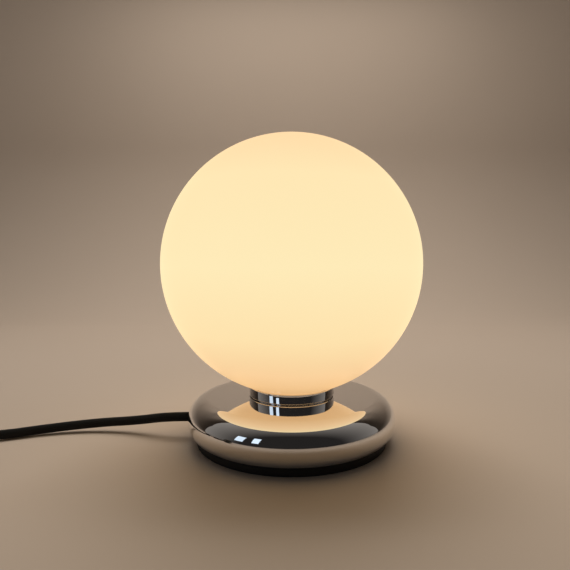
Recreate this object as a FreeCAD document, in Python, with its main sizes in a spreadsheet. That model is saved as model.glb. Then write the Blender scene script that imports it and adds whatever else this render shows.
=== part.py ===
"""Glass globe table lamp: an opal ball on a chrome collar and a round chrome base.

Millimetres, +Z up. The origin is on the table, on the lamp's own axis. The lamp's cord leaves
the base at the left (-X), and what lies on it is in the same frame.
"""

import FreeCAD, Part

import math
import os

import Sketcher

SIZES = {
    # glass ball
    "globe_radius": 100.0,
    "globe_wall": 3.0,
    # base: a spun shell with a flat top, a shoulder and a round rim
    "base_radius": 80.0,
    "base_top": 33.6,
    "rim_radius": 15.7,
    "shoulder_radius": 19.0,
    "shoulder_angle": 5.0,
    "shell_wall": 1.2,
    "foot_height": 5.0,
    "foot_wall": 3.0,
    "foot_ledge": 6.0,
    "foot_ledge_thick": 1.5,
    "plate_thick": 1.5,
    "weight_thick": 10.0,
    "pillar_radius": 4.5,
    "plate_screw_radius": 1.9,
    "plate_screw_head": 3.6,
    "plate_screw_head_tall": 1.5,
    "plate_screw_reach": 8.0,
    "pillar_count": 3,
    # stem
    "tube_radius": 5.0,
    "tube_bore": 3.6,
    "tube_below": 8.4,
    "tube_above": 6.5,
    "nut_across": 14.0,
    "nut_tall": 4.0,
    "washer_radius": 11.0,
    "washer_thick": 1.2,
    # chrome collar and the rubber seat in it
    "collar_radius": 33.1,
    "collar_wall": 3.1,
    "collar_tall": 7.8,
    "collar_floor": 2.4,
    "collar_step": 0.6,
    "collar_step_in": 1.6,
    "collar_bevel": 0.5,
    "collar_top_fall": 0.9,
    "gasket_wall": 1.0,
    "gasket_floor": 1.2,
    "gasket_reach": 5.9,
    "gasket_tall": 4.2,
    # lampholder
    "holder_radius": 14.5,
    "holder_wall": 1.8,
    "holder_lift": 2.5,
    "holder_cap_tall": 10.5,
    "holder_cap_bevel": 4.5,
    "holder_body_tall": 30.0,
    "holder_collar_tall": 7.0,
    "holder_step": 1.1,
    "insert_tall": 8.0,
    "screw_wall": 0.5,
    "screw_tall": 20.0,
    "contact_radius": 2.5,
    "contact_tall": 2.0,
    "contact_bevel": 0.6,
    # bulb
    "tip_radius": 2.4,
    "tip_tall": 1.7,
    "insulator_tall": 2.0,
    "cap_radius": 6.85,
    "cap_wall": 0.4,
    "cap_tall": 16.0,
    "housing_gap": 1.0,
    "housing_tall": 12.5,
    "housing_wall": 1.2,
    "housing_plug": 1.6,
    "bulb_neck": 14.2,
    "bulb_radius": 22.5,
    "bulb_wall": 1.0,
    "board_thick": 1.4,
    "chip_side": 2.8,
    "chip_tall": 0.7,
    "chip_circle": 8.5,
    "chip_count": 8,
    # wiring inside the base
    "cord_radius": 3.5,
    "bush_wall": 1.6,
    "bush_flange_step": 1.8,
    "bush_flange_thick": 2.0,
    "bush_reach": 12.0,
    "bush_flange_in": 5.0,
    "sheath_past_clamp": 4.0,
    "clamp_length": 9.0,
    "clamp_width": 26.0,
    "clamp_split": 0.3,
    "clamp_upper_tall": 6.6,
    "clamp_lower_tall": 5.0,
    "clamp_screw_apart": 18.0,
    "clamp_screw_radius": 1.4,
    "clamp_screw_head": 2.6,
    "clamp_screw_head_tall": 1.6,
    "clamp_screw_reach": 5.0,
    "block_near": 18.0,
    "block_length": 20.0,
    "block_width": 18.0,
    "block_tall": 10.0,
    "block_screw_radius": 1.7,
    "block_screw_tall": 1.0,
    "core_radius": 1.0,
    "core_apart": 5.0,
    "core_apart_in_cord": 2.1,
    "core_stub": 0.5,
    "core_in_block": 3.0,
    "core_bend": 8.0,
    "terminal_side": 4.0,
    "terminal_tall": 5.0,
    "terminal_apart": 12.0,
    "lug_circle": 24.0,
    "lug_radius": 4.0,
    "lug_tail": 12.0,
    "lug_thick": 0.8,
    # switch on the cord
    "switch_length": 56.0,
    "switch_width": 24.0,
    "switch_round": 6.0,
    "switch_edge": 2.0,
    "switch_under_cord": 4.6,
    "switch_over_pivot": 2.0,
    "rocker_length": 20.0,
    "rocker_width": 11.2,
    "pivot_over_cord": 2.9,
    "rocker_below": 1.0,
    "rocker_end": 2.9,
    "rocker_middle": 1.7,
    "rocker_tilt": 8.0,
    "rocker_pin": 1.0,
    "rocker_pin_length": 15.0,
    "switch_screw_apart": 42.0,
    "switch_screw_side": 8.2,
    "switch_screw_radius": 1.3,
    "switch_screw_head": 2.3,
    "switch_screw_head_tall": 1.2,
    "switch_screw_reach": 4.0,
    # plug
    "plug_radius": 18.2,
    "plug_face_length": 17.0,
    "plug_neck_radius": 9.0,
    "plug_length": 38.0,
    "plug_bevel": 1.4,
    "pin_radius": 2.4,
    "pin_length": 19.0,
    "pin_apart": 19.0,
    "earth_width": 4.0,
    "earth_length": 8.5,
    "earth_thick": 0.8,
    "grip_length": 22.0,
    "grip_wall": 1.4,
    # coil of the rest of the cord
    "coil_radius": 50.6,
    "coil_inner": 24.2,
    "coil_tall": 14.8,
    "coil_floor": 0.1,
    # clearances
    "fit": 0.1,
    "ease": 0.3,
    "running": 0.06,
    "thread_gap": 0.35,
    "globe_over_collar": 0.737,
    "foot_inside_shell": 0.27,
    "weight_inside_flat": 9.0,
    "pillar_inside_weight": 17.0,
    "clamp_inside_weight": 7.0,
    "shell_ledge_gap": 1.7,
    "rocker_end_gap": 0.4,
    "rocker_side_gap": 0.3,
}

# The free cord's route: chosen by hand from the photograph up to the edge of the view.
CORD_ROUTE = [
    (-80.0, 0.0, 15.8),
    (-98.0, 0.0, 15.8),
    (-124.0, 10.0, 9.6),
    (-158.0, 13.5, 6.6),
    (-194.0, 6.5, 4.4),
    (-229.0, -10.5, 3.9),
    (-274.0, -25.0, 8.4),
    (-356.2, -42.5, 8.4),
    (-392.8, -73.4, 5.2),
    (-399.6, -112.8, 3.7),
]
SWITCH_RUN = 6  # the switch sits in the middle of the run that starts at this point
COIL_CENTRE = (-353.1, -119.3)
# From the coil's top layer down to the plug.
TAIL_ROUTE = [
    (-353.0, -166.3, 11.2),
    (-316.0, -168.0, 14.0),
    (-279.0, -161.5, 18.5),
    (-247.0, -150.0, 18.5),
]
RUN_SHARE = 0.45  # the part of the shorter run that a bend takes at each of its ends

doc = FreeCAD.newDocument("lamp")
sheet = doc.addObject("Spreadsheet::Sheet", "size")
for row, (word, value) in enumerate(SIZES.items(), start=1):
    sheet.set(f"A{row}", word)
    sheet.set(f"B{row}", str(value))
    sheet.setAlias(f"B{row}", word)
doc.recompute()


class Length:
    """A length with its value and the rule that gives it from the sheet."""

    def __init__(self, mm, rule):
        self.mm, self.rule = float(mm), rule

    @staticmethod
    def of(other):
        return other if isinstance(other, Length) else Length(other, repr(float(other)))

    def __add__(self, other):
        other = Length.of(other)
        return Length(self.mm + other.mm, f"({self.rule} + {other.rule})")

    def __sub__(self, other):
        other = Length.of(other)
        return Length(self.mm - other.mm, f"({self.rule} - {other.rule})")

    def __mul__(self, other):
        other = Length.of(other)
        return Length(self.mm * other.mm, f"({self.rule} * {other.rule})")

    def __truediv__(self, other):
        other = Length.of(other)
        return Length(self.mm / other.mm, f"({self.rule} / {other.rule})")

    def root(self):
        return Length(math.sqrt(self.mm), f"sqrt({self.rule})")

    def sin(self):
        return Length(math.sin(math.radians(self.mm)), f"sin({self.rule} * 1 deg)")

    def cos(self):
        return Length(math.cos(math.radians(self.mm)), f"cos({self.rule} * 1 deg)")

    def across(self, height):
        """The half width of a circle of this radius, at a height from its centre."""
        return (self * self - height * height).root()


def s(word):
    return Length(sheet.get(word), f"size.{word}")


ZERO = Length(0, "0")
pieces = []


def plane_of(body, role):
    return next(f for f in body.Origin.OriginFeatures if f.Role == role)


def new_body(name):
    body = doc.addObject("PartDesign::Body", name)
    body.Label = name
    body.AllowCompound = True
    pieces.append(body)
    return body


def new_sketch(body, role, offset=None):
    sketch = body.newObject("Sketcher::SketchObject", f"{body.Name}_sketch")
    sketch.AttachmentSupport = [(plane_of(body, role), "")]
    sketch.MapMode = "FlatFace"
    if offset is not None:
        sketch.setExpression("AttachmentOffset.Base.z", offset.rule)
    return sketch


def pin_point(sketch, geo, end, x, y):
    """Ties a point of the sketch to its two lengths from the sketch's origin."""
    for kind, value, axis in (("DistanceX", x, -2), ("DistanceY", y, -1)):
        if abs(value.mm) < 1e-9:
            sketch.addConstraint(Sketcher.Constraint("PointOnObject", geo, end, axis))
            continue
        c = sketch.addConstraint(Sketcher.Constraint(kind, -1, 1, geo, end, value.mm))
        sketch.setExpression(f"Constraints[{c}]", value.rule)


def arc_between(a, b, radius, bulge):
    """The arc from a to b of that radius, bulging to the left (1) or right (-1) of a to b."""
    mid, way = (a + b) * 0.5, b - a
    side = FreeCAD.Vector(-way.y, way.x, 0).normalize() * bulge
    centre = mid - side * math.sqrt(max(radius**2 - (way.Length / 2) ** 2, 0.0))
    first, last = (b, a) if bulge > 0 else (a, b)
    angles = [math.atan2(p.y - centre.y, p.x - centre.x) for p in (first, last)]
    if angles[1] < angles[0]:
        angles[1] += 2 * math.pi
    circle = Part.Circle(centre, FreeCAD.Vector(0, 0, 1), radius)
    return Part.ArcOfCircle(circle, *angles)


def draw_outline(sketch, outline):
    """Closed outline. Each entry is (x, y), or (x, y, radius, bulge) for an arc to the next."""
    count = len(outline)
    at = [FreeCAD.Vector(p[0].mm, p[1].mm, 0) for p in outline]
    ends = []
    for k, p in enumerate(outline):
        a, b = at[k], at[(k + 1) % count]
        if len(p) == 2:
            geo = sketch.addGeometry(Part.LineSegment(a, b), False)
            ends.append((geo, 1, 2))
            continue
        geo = sketch.addGeometry(arc_between(a, b, p[2].mm, p[3]), False)
        ends.append((geo, 2, 1) if p[3] > 0 else (geo, 1, 2))
        c = sketch.addConstraint(Sketcher.Constraint("Radius", geo, p[2].mm))
        sketch.setExpression(f"Constraints[{c}]", p[2].rule)
    for k in range(count):
        geo, _, last = ends[k]
        after, first, _ = ends[(k + 1) % count]
        sketch.addConstraint(Sketcher.Constraint("Coincident", geo, last, after, first))
    for k, p in enumerate(outline):
        pin_point(sketch, ends[k][0], ends[k][1], p[0], p[1])


def draw_circle(sketch, x, y, radius):
    centre = FreeCAD.Vector(x.mm, y.mm, 0)
    geo = sketch.addGeometry(Part.Circle(centre, FreeCAD.Vector(0, 0, 1), radius.mm), False)
    c = sketch.addConstraint(Sketcher.Constraint("Radius", geo, radius.mm))
    sketch.setExpression(f"Constraints[{c}]", radius.rule)
    pin_point(sketch, geo, 3, x, y)


def spin(name, outline, body=None):
    """A turned piece: its outline in radius and height, once round +Z."""
    body = body or new_body(name)
    sketch = new_sketch(body, "XZ_Plane")
    draw_outline(sketch, outline)
    turned = body.newObject("PartDesign::Revolution", f"{name}_turned")
    turned.Profile = sketch
    turned.ReferenceAxis = (sketch, ["V_Axis"])
    turned.Angle = 360
    body.Tip = turned
    doc.recompute()
    return body


def drill(body, role, offset, circles, depth, backwards=False):
    """Round holes cut from a plane of the piece, with the cut volume looked at."""
    sketch = new_sketch(body, role, offset)
    for x, y, radius in circles:
        draw_circle(sketch, x, y, radius)
    before = body.Shape.Volume
    hole = body.newObject("PartDesign::Pocket", f"{body.Name}_hole")
    hole.Profile = sketch
    hole.setExpression("Length", depth.rule)
    hole.Reversed = backwards
    body.Tip = hole
    doc.recompute()
    if not body.Shape.Volume < before - 1e-3:
        raise RuntimeError(f"{body.Label}: a hole cuts nothing")
    return hole


def repeat_round(body, feature, count):
    pattern = body.newObject("PartDesign::PolarPattern", f"{body.Name}_pattern")
    pattern.Originals = [feature]
    pattern.Axis = (plane_of(body, "Z_Axis"), [""])
    pattern.Angle = 360
    pattern.setExpression("Occurrences", count.rule)
    body.Tip = pattern
    doc.recompute()
    return pattern


def pad(name, role, offset, draw, tall, body=None):
    """A piece of even thickness: what draw puts in the sketch, raised by tall."""
    body = body or new_body(name)
    sketch = new_sketch(body, role, offset)
    draw(sketch)
    raised = body.newObject("PartDesign::Pad", f"{name}_raised")
    raised.Profile = sketch
    raised.setExpression("Length", tall.rule)
    body.Tip = raised
    doc.recompute()
    return body


def block(name, x0, x1, half_width, z0, z1):
    """A block from x0 to x1, of even width about the XZ plane."""
    box = doc.addObject("Part::Box", name)
    box.setExpression("Length", (x1 - x0).rule)
    box.setExpression("Width", (half_width * 2).rule)
    box.setExpression("Height", (z1 - z0).rule)
    box.setExpression("Placement.Base.x", x0.rule)
    box.setExpression("Placement.Base.y", (ZERO - half_width).rule)
    box.setExpression("Placement.Base.z", z0.rule)
    return box


def post(name, x, y, z0, radius, tall):
    """An upright cylinder."""
    made = doc.addObject("Part::Cylinder", name)
    made.setExpression("Radius", radius.rule)
    made.setExpression("Height", tall.rule)
    made.setExpression("Placement.Base.x", x.rule)
    made.setExpression("Placement.Base.y", y.rule)
    made.setExpression("Placement.Base.z", z0.rule)
    return made


def sphere(name, height, radius):
    """A ball whose centre is on the lamp's axis."""
    made = doc.addObject("Part::Sphere", name)
    made.setExpression("Radius", radius.rule)
    made.setExpression("Placement.Base.z", height.rule)
    return made


def bar(name, axis, x, y, z, radius, length):
    """A cylinder that lies along +X or +Y from the point."""
    made = post(name, x, y, z, radius, length)
    turn = (0, 1, 0) if axis == "X" else (-1, 0, 0)
    made.Placement.Rotation = FreeCAD.Rotation(FreeCAD.Vector(*turn), 90)
    return made


def cut(name, base, tools, keep=False):
    """base without the tools. A kept result is a piece of the lamp."""
    tool = tools[0]
    if len(tools) > 1:
        tool = doc.addObject("Part::MultiFuse", f"{name}_tools")
        tool.Shapes = tools
    made = doc.addObject("Part::Cut", name)
    made.Base, made.Tool = base, tool
    return keep_piece(made, name) if keep else made


def fuse(name, shapes, keep=False):
    made = doc.addObject("Part::MultiFuse", name)
    made.Shapes = shapes
    return keep_piece(made, name) if keep else made


def group(name, shapes):
    """Separate solids that share one node."""
    made = doc.addObject("Part::Compound", name)
    made.Links = shapes
    return keep_piece(made, name)


def keep_piece(made, name):
    made.Label = name
    pieces.append(made)
    return made


def feature(name, shape):
    made = doc.addObject("Part::Feature", name)
    made.Shape = shape
    return keep_piece(made, name)


def tangent_path(points, most=None):
    """Straight runs joined by tangent arcs, as one wire, with the arcs' radii."""
    at = [FreeCAD.Vector(*p) for p in points]
    edges, radii, here = [], [], at[0]
    for before, corner, after in zip(at, at[1:], at[2:]):
        back, ahead = before - corner, after - corner
        turn = math.pi - back.getAngle(ahead)
        reach = RUN_SHARE * min(back.Length, ahead.Length)
        if most is not None:
            reach = min(reach, most * math.tan(turn / 2))
        radii.append(reach / math.tan(turn / 2))
        first = corner + FreeCAD.Vector(back).normalize() * reach
        last = corner + FreeCAD.Vector(ahead).normalize() * reach
        inward = (FreeCAD.Vector(back).normalize() + FreeCAD.Vector(ahead).normalize()).normalize()
        middle = corner + inward * (radii[-1] / math.cos(turn / 2) - radii[-1])
        edges += [Part.LineSegment(here, first).toShape(), Part.Arc(first, middle, last).toShape()]
        here = last
    edges.append(Part.LineSegment(here, at[-1]).toShape())
    return Part.Wire(edges), radii


def tube_along(points, radius, most=None):
    """A round solid along the path, and the share by which its volume is off section x length."""
    wire, radii = tangent_path(points, most=most)
    start = FreeCAD.Vector(*points[1]) - FreeCAD.Vector(*points[0])
    ring = Part.Wire(Part.makeCircle(radius, FreeCAD.Vector(*points[0]), start))
    solid = wire.makePipeShell([ring], True, True)
    if solid.Volume < 0:
        solid.reverse()
    off = solid.Volume / (math.pi * radius**2 * wire.Length) - 1
    return solid, wire.Length, radii, off


def placed(point, heading, shape):
    """A shape made along +X at the origin, turned to the heading and put at the point."""
    moved = shape.copy()
    turn = FreeCAD.Rotation(FreeCAD.Vector(0, 0, 1), heading)
    moved.Placement = FreeCAD.Placement(FreeCAD.Vector(*point), turn) * shape.Placement
    return moved


# --- base: foot ring, plate, shell and weight --------------------------------------------

wall, foot, top = s("shell_wall"), s("foot_height"), s("base_top")
fit, ease = s("fit"), s("ease")

plate_top = foot - s("foot_ledge_thick")
plate_bottom = plate_top - s("plate_thick")
shell_under = top - wall
weight_bottom = shell_under - s("weight_thick")
tube_hole = s("tube_radius") + ease


def rim_points(inset):
    """Where the shell's arcs start and end, for its skin or a skin that far inside it."""
    tilt = s("shoulder_angle")
    shoulder, rim = s("shoulder_radius") - inset, s("rim_radius") - inset
    rim_centre = s("base_radius") - s("rim_radius")
    flat = rim_centre - (s("shoulder_radius") - s("rim_radius")) * tilt.sin()
    rim_height = top - s("shoulder_radius") + (s("shoulder_radius") - s("rim_radius")) * tilt.cos()
    bend = (flat + shoulder * tilt.sin(), top - s("shoulder_radius") + shoulder * tilt.cos())
    low = (rim_centre + rim.across(rim_height - foot), foot)
    return (flat, top - inset), bend, low, shoulder, rim


flat_edge, _, lower_edge, _, _ = rim_points(ZERO)
foot_radius = lower_edge[0] - s("foot_inside_shell")
weight_radius = flat_edge[0] - s("weight_inside_flat")
pillar_circle = weight_radius - s("pillar_inside_weight")
cord = s("cord_radius")
exit_height = weight_bottom - s("clamp_upper_tall")
exit_x = ZERO - s("base_radius")
bush_radius = cord + fit + s("bush_wall")
clamp_close = s("clamp_inside_weight") - weight_radius
clamp_far = clamp_close - s("clamp_length")
clamp_middle = (clamp_far + clamp_close) / 2
sheath_end = clamp_close + s("sheath_past_clamp")


def make_foot_ring():
    outer = foot_radius
    inner = outer - s("foot_wall")
    ledge = inner - s("foot_ledge")
    spin(
        "foot_ring",
        [(inner, ZERO), (outer, ZERO), (outer, foot), (ledge, foot), (ledge, plate_top)]
        + [(inner, plate_top)],
    )


def make_bottom_plate():
    radius = foot_radius - s("foot_wall") - ease
    body = spin(
        "bottom_plate",
        [(ZERO, plate_bottom), (radius, plate_bottom), (radius, plate_top), (ZERO, plate_top)],
    )
    hole = (pillar_circle, ZERO, s("plate_screw_radius") + fit)
    cutter = drill(body, "XY_Plane", plate_top, [hole], s("plate_thick"))
    repeat_round(body, cutter, s("pillar_count"))


def make_base_shell():
    flat, bend, low, shoulder, rim = rim_points(ZERO)
    flat_in, bend_in, low_in, shoulder_in, rim_in = rim_points(wall)
    body = spin(
        "base_shell",
        [(tube_hole, top), (*flat, shoulder, 1), (*bend, rim, 1), low]
        + [(*low_in, rim_in, -1), (*bend_in, shoulder_in, -1), flat_in, (tube_hole, shell_under)],
    )
    side = (ZERO, exit_height, bush_radius + fit)
    drill(body, "YZ_Plane", None, [side], s("base_radius") * 2)


def make_base_weight():
    body = spin(
        "base_weight",
        [(tube_hole, weight_bottom), (weight_radius, weight_bottom), (weight_radius, shell_under)]
        + [(tube_hole, shell_under)],
    )
    hole = (pillar_circle, ZERO, s("plate_screw_radius") + fit)
    depth = s("plate_screw_reach") + ease
    cutter = drill(body, "XY_Plane", weight_bottom, [hole], depth, backwards=True)
    repeat_round(body, cutter, s("pillar_count"))
    radius, side = s("clamp_screw_radius") + fit, s("clamp_screw_apart") / 2
    holes = [(clamp_middle, side, radius), (clamp_middle, ZERO - side, radius)]
    depth = s("clamp_screw_reach") + ease
    drill(body, "XY_Plane", weight_bottom, holes, depth, backwards=True)


def make_plate_pillars():
    tall = weight_bottom - plate_top
    inner = s("plate_screw_radius") + fit

    def draw(sketch):
        draw_circle(sketch, pillar_circle, ZERO, s("pillar_radius"))
        draw_circle(sketch, pillar_circle, ZERO, inner)

    body = pad("plate_pillars", "XY_Plane", plate_top, draw, tall)
    repeat_round(body, body.Tip, s("pillar_count"))


def make_plate_screws():
    head = s("plate_screw_head_tall")
    shank_tall = weight_bottom + s("plate_screw_reach") - plate_bottom

    def draw_head(sketch):
        draw_circle(sketch, pillar_circle, ZERO, s("plate_screw_head"))

    def draw_shank(sketch):
        draw_circle(sketch, pillar_circle, ZERO, s("plate_screw_radius"))

    body = pad("plate_screws", "XY_Plane", plate_bottom - head, draw_head, head)
    first = body.Tip
    pad("plate_shank", "XY_Plane", plate_bottom, draw_shank, shank_tall, body=body)
    pattern = body.newObject("PartDesign::PolarPattern", "plate_screws_pattern")
    pattern.Originals = [first, body.Tip]
    pattern.Axis = (plane_of(body, "Z_Axis"), [""])
    pattern.Angle = 360
    pattern.setExpression("Occurrences", s("pillar_count").rule)
    body.Tip = pattern
    doc.recompute()


make_foot_ring()
make_bottom_plate()
make_base_shell()
make_base_weight()
make_plate_pillars()
make_plate_screws()

# --- stem, collar and the globe's seat ----------------------------------------------------


def hex_nut(name, z0):
    """A six-sided nut on the stem, made with a round bore that clears the tube."""
    across = s("nut_across")
    corner = across / math.sqrt(3)
    half = across / 2
    prism = doc.addObject("Part::Prism", f"{name}_prism")
    prism.Polygon = 6
    prism.setExpression("Circumradius", corner.rule)
    prism.setExpression("Height", s("nut_tall").rule)
    prism.setExpression("Placement.Base.z", z0.rule)
    bore = post(f"{name}_bore", ZERO, ZERO, z0, s("tube_radius") + fit, s("nut_tall"))
    dome = doc.addObject("Part::Cone", f"{name}_dome")
    dome.setExpression("Radius1", corner.rule)
    dome.setExpression("Radius2", (half + fit).rule)
    dome.setExpression("Height", s("nut_tall").rule)
    dome.setExpression("Placement.Base.z", z0.rule)
    shaped = doc.addObject("Part::Common", f"{name}_shaped")
    shaped.Base, shaped.Tool = prism, dome
    return cut(name, shaped, [bore], keep=True)


def washer(name, z0):
    inner, outer = s("tube_radius") + fit, s("washer_radius")
    high = z0 + s("washer_thick")
    spin(name, [(inner, z0), (outer, z0), (outer, high), (inner, high)])


seat_floor = top + s("collar_floor")
upper_nut_top = seat_floor + s("washer_thick") + s("nut_tall")
tube_top = upper_nut_top + s("tube_above")
tube_bottom = weight_bottom - s("tube_below")
collar_inner = s("collar_radius") - s("collar_wall")


def make_stem():
    inner, outer = s("tube_bore"), s("tube_radius")
    spin(
        "threaded_tube",
        [(inner, tube_bottom), (outer, tube_bottom), (outer, tube_top), (inner, tube_top)],
    )
    washer("lower_washer", weight_bottom - s("washer_thick"))
    hex_nut("lower_nut", weight_bottom - s("washer_thick") - s("nut_tall"))
    washer("upper_washer", seat_floor)
    hex_nut("upper_nut", seat_floor + s("washer_thick"))


def make_collar_ring():
    outer, bevel = s("collar_radius"), s("collar_bevel")
    step = outer - s("collar_step_in")
    under = top + s("collar_step")
    high = top + s("collar_tall")
    spin(
        "collar_ring",
        [(tube_hole, top), (step, top), (step, under), (outer - bevel, under)]
        + [(outer, under + bevel), (outer, high), (collar_inner, high - s("collar_top_fall"))]
        + [(collar_inner, seat_floor), (tube_hole, seat_floor)],
    )


def make_globe_seat_gasket():
    outer = collar_inner - fit
    inner, reach = outer - s("gasket_wall"), outer - s("gasket_reach")
    floor_top, high = seat_floor + s("gasket_floor"), seat_floor + s("gasket_tall")
    spin(
        "globe_seat_gasket",
        [(reach, seat_floor), (outer, seat_floor), (outer, high), (inner, high)]
        + [(inner, floor_top), (reach, floor_top)],
    )


def make_glass_globe():
    outer, thick = s("globe_radius"), s("globe_wall")
    collar_top = top + s("collar_tall")
    centre = collar_top + s("globe_over_collar") + outer.across(s("collar_radius"))
    neck = collar_inner - fit - s("gasket_wall") - ease
    low = seat_floor + s("gasket_floor") + ease
    ball = sphere("globe_ball", centre, outer)
    collar = post("globe_neck", ZERO, ZERO, low, neck, centre - low)
    inside = sphere("globe_inside", centre, outer - thick)
    under = centre - outer
    mouth = post("globe_mouth", ZERO, ZERO, under, neck - thick, centre - under)
    cut("glass_globe", fuse("globe_solid", [ball, collar]), [inside, mouth], keep=True)


make_stem()
make_collar_ring()
make_globe_seat_gasket()
make_glass_globe()

# --- lampholder ---------------------------------------------------------------------------

holder_bottom = upper_nut_top + s("holder_lift")
body_bottom = holder_bottom + s("holder_cap_tall")
body_top = body_bottom + s("holder_body_tall")
holder_inner = s("holder_radius") - s("holder_wall") - s("holder_step")
insert_top = body_bottom + s("insert_tall")
contact_top = insert_top + s("contact_tall")


def make_holder():
    outer, thick, bevel = s("holder_radius"), s("holder_wall"), s("holder_cap_bevel")
    grip = s("tube_radius") + fit
    spin(
        "holder_cap",
        [(grip, holder_bottom), (outer - bevel, holder_bottom)]
        + [(outer, holder_bottom + bevel), (outer, body_bottom), (outer - thick, body_bottom)]
        + [(outer - thick, holder_bottom + bevel + thick / 2)]
        + [(outer - bevel - thick / 2, holder_bottom + thick), (grip, holder_bottom + thick)],
    )
    skirt = outer - s("holder_step")
    shoulder = body_bottom + s("holder_collar_tall")
    spin(
        "holder_body",
        [(holder_inner, body_bottom), (outer, body_bottom), (outer, shoulder)]
        + [(skirt, shoulder + s("holder_step")), (skirt, body_top), (holder_inner, body_top)],
    )
    insert = holder_inner - fit
    spin(
        "holder_insert",
        [(ZERO, body_bottom), (insert, body_bottom), (insert, insert_top), (ZERO, insert_top)],
    )
    bore = s("cap_radius") + s("thread_gap")
    shell = bore + s("screw_wall")
    ledge = s("contact_radius") + s("shell_ledge_gap")
    high = insert_top + s("screw_tall")
    spin(
        "screw_shell",
        [(ledge, insert_top), (shell, insert_top), (shell, high), (bore, high)]
        + [(bore, insert_top + s("screw_wall")), (ledge, insert_top + s("screw_wall"))],
    )
    spring, bevel = s("contact_radius"), s("contact_bevel")
    spin(
        "centre_contact",
        [(ZERO, insert_top), (spring, insert_top), (spring, contact_top - bevel)]
        + [(spring - bevel, contact_top), (ZERO, contact_top)],
    )
    side, tall, apart = s("terminal_side"), s("terminal_tall"), s("terminal_apart") / 2
    blocks = [
        block(f"terminal_{k}", x - side / 2, x + side / 2, side / 2, body_bottom - tall, body_bottom)
        for k, x in enumerate((apart, ZERO - apart))
    ]
    group("holder_terminals", blocks)


make_holder()

# --- bulb ---------------------------------------------------------------------------------

tip_bottom = contact_top + ease
cap_bottom = tip_bottom + s("tip_tall") + s("insulator_tall")
cap_top = cap_bottom + s("cap_tall")
housing_bottom = body_top + s("housing_gap")
housing_top = housing_bottom + s("housing_tall")
board_bottom = housing_top - s("board_thick")


def make_bulb():
    tip, tip_top = s("tip_radius"), tip_bottom + s("tip_tall")
    bevel = s("contact_bevel")
    spin(
        "bulb_contact",
        [(ZERO, tip_bottom), (tip - bevel, tip_bottom), (tip, tip_bottom + bevel)]
        + [(tip, tip_top), (ZERO, tip_top)],
    )
    cap, thin = s("cap_radius"), s("cap_wall")
    spin(
        "bulb_insulator",
        [(ZERO, tip_top), (tip + thin, tip_top), (cap - thin, cap_bottom), (ZERO, cap_bottom)],
    )
    spin(
        "bulb_cap",
        [(cap - thin, cap_bottom), (cap, cap_bottom), (cap, cap_top), (cap - thin, cap_top)],
    )
    neck, skin = s("bulb_neck"), s("housing_wall")
    low = cap_top - s("housing_plug")
    plug = cap - thin - fit
    spin(
        "bulb_housing",
        [(plug - skin, low), (plug, low), (plug, cap_top + fit), (cap + fit, cap_top + fit)]
        + [(cap + fit, housing_bottom), (neck, housing_top), (neck - skin, housing_top)]
        + [(neck - skin, board_bottom), (plug - skin, housing_bottom)],
    )
    board = neck - skin - fit
    spin(
        "led_board",
        [(ZERO, board_bottom), (board, board_bottom), (board, housing_top), (ZERO, housing_top)],
    )
    half = s("chip_side") / 2
    at = s("chip_circle")

    def draw_chip(sketch):
        draw_circle(sketch, at, ZERO, half)

    body = pad("led_chips", "XY_Plane", housing_top, draw_chip, s("chip_tall"))
    repeat_round(body, body.Tip, s("chip_count"))
    outer, low = s("bulb_radius"), housing_top - s("bulb_radius") * 2
    centre = housing_top + outer.across(neck)
    ball = sphere("bulb_ball", centre, outer)
    inside = sphere("bulb_inside", centre, outer - s("bulb_wall"))
    below = post("bulb_below", ZERO, ZERO, low, outer, housing_top - low)
    cut("bulb_glass", ball, [inside, below], keep=True)


make_bulb()

# --- wiring inside the base ---------------------------------------------------------------


def make_cord_entry():
    sleeve = bar("bush_sleeve", "X", exit_x + fit, ZERO, exit_height, bush_radius, s("bush_reach"))
    flange = bar(
        "bush_flange_ring", "X", exit_x + s("bush_flange_in"), ZERO, exit_height,
        bush_radius + s("bush_flange_step"), s("bush_flange_thick"),
    )
    bore = bar(
        "bush_bore", "X", exit_x - s("bush_reach"), ZERO, exit_height,
        cord + fit, s("bush_reach") * 3,
    )
    cut("cord_bush", fuse("bush_solid", [sleeve, flange]), [bore], keep=True)
    sheath = bar("inner_cord", "X", exit_x, ZERO, exit_height, cord, sheath_end - exit_x)
    keep_piece(sheath, "inner_cord")


def make_cord_clamp():
    half, split = s("clamp_width") / 2, s("clamp_split") / 2
    reach = s("clamp_screw_reach")
    hole = s("clamp_screw_radius") + fit
    lower_bottom = exit_height - s("clamp_lower_tall")

    def passages(name):
        channel = bar(
            f"{name}_channel", "X", clamp_far - half, ZERO, exit_height,
            cord + fit, s("clamp_width") * 2,
        )
        holes = [
            post(f"{name}_hole_{k}", clamp_middle, y, ZERO, hole, top)
            for k, y in enumerate((s("clamp_screw_apart") / 2, ZERO - s("clamp_screw_apart") / 2))
        ]
        return [channel, *holes]

    upper = block("clamp_upper", clamp_far, clamp_close, half, exit_height + split, weight_bottom)
    cut("cord_clamp_upper", upper, passages("upper"), keep=True)
    lower = block("clamp_lower", clamp_far, clamp_close, half, lower_bottom, exit_height - split)
    cut("cord_clamp_lower", lower, passages("lower"), keep=True)
    screws = []
    for k, y in enumerate((s("clamp_screw_apart") / 2, ZERO - s("clamp_screw_apart") / 2)):
        head_tall = s("clamp_screw_head_tall")
        shank = post(
            f"clamp_shank_{k}", clamp_middle, y, lower_bottom, s("clamp_screw_radius"),
            weight_bottom + reach - lower_bottom,
        )
        head = post(
            f"clamp_head_{k}", clamp_middle, y, lower_bottom - head_tall, s("clamp_screw_head"),
            head_tall,
        )
        screws.append(fuse(f"clamp_screw_{k}", [shank, head]))
    group("clamp_screws", screws)


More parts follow.
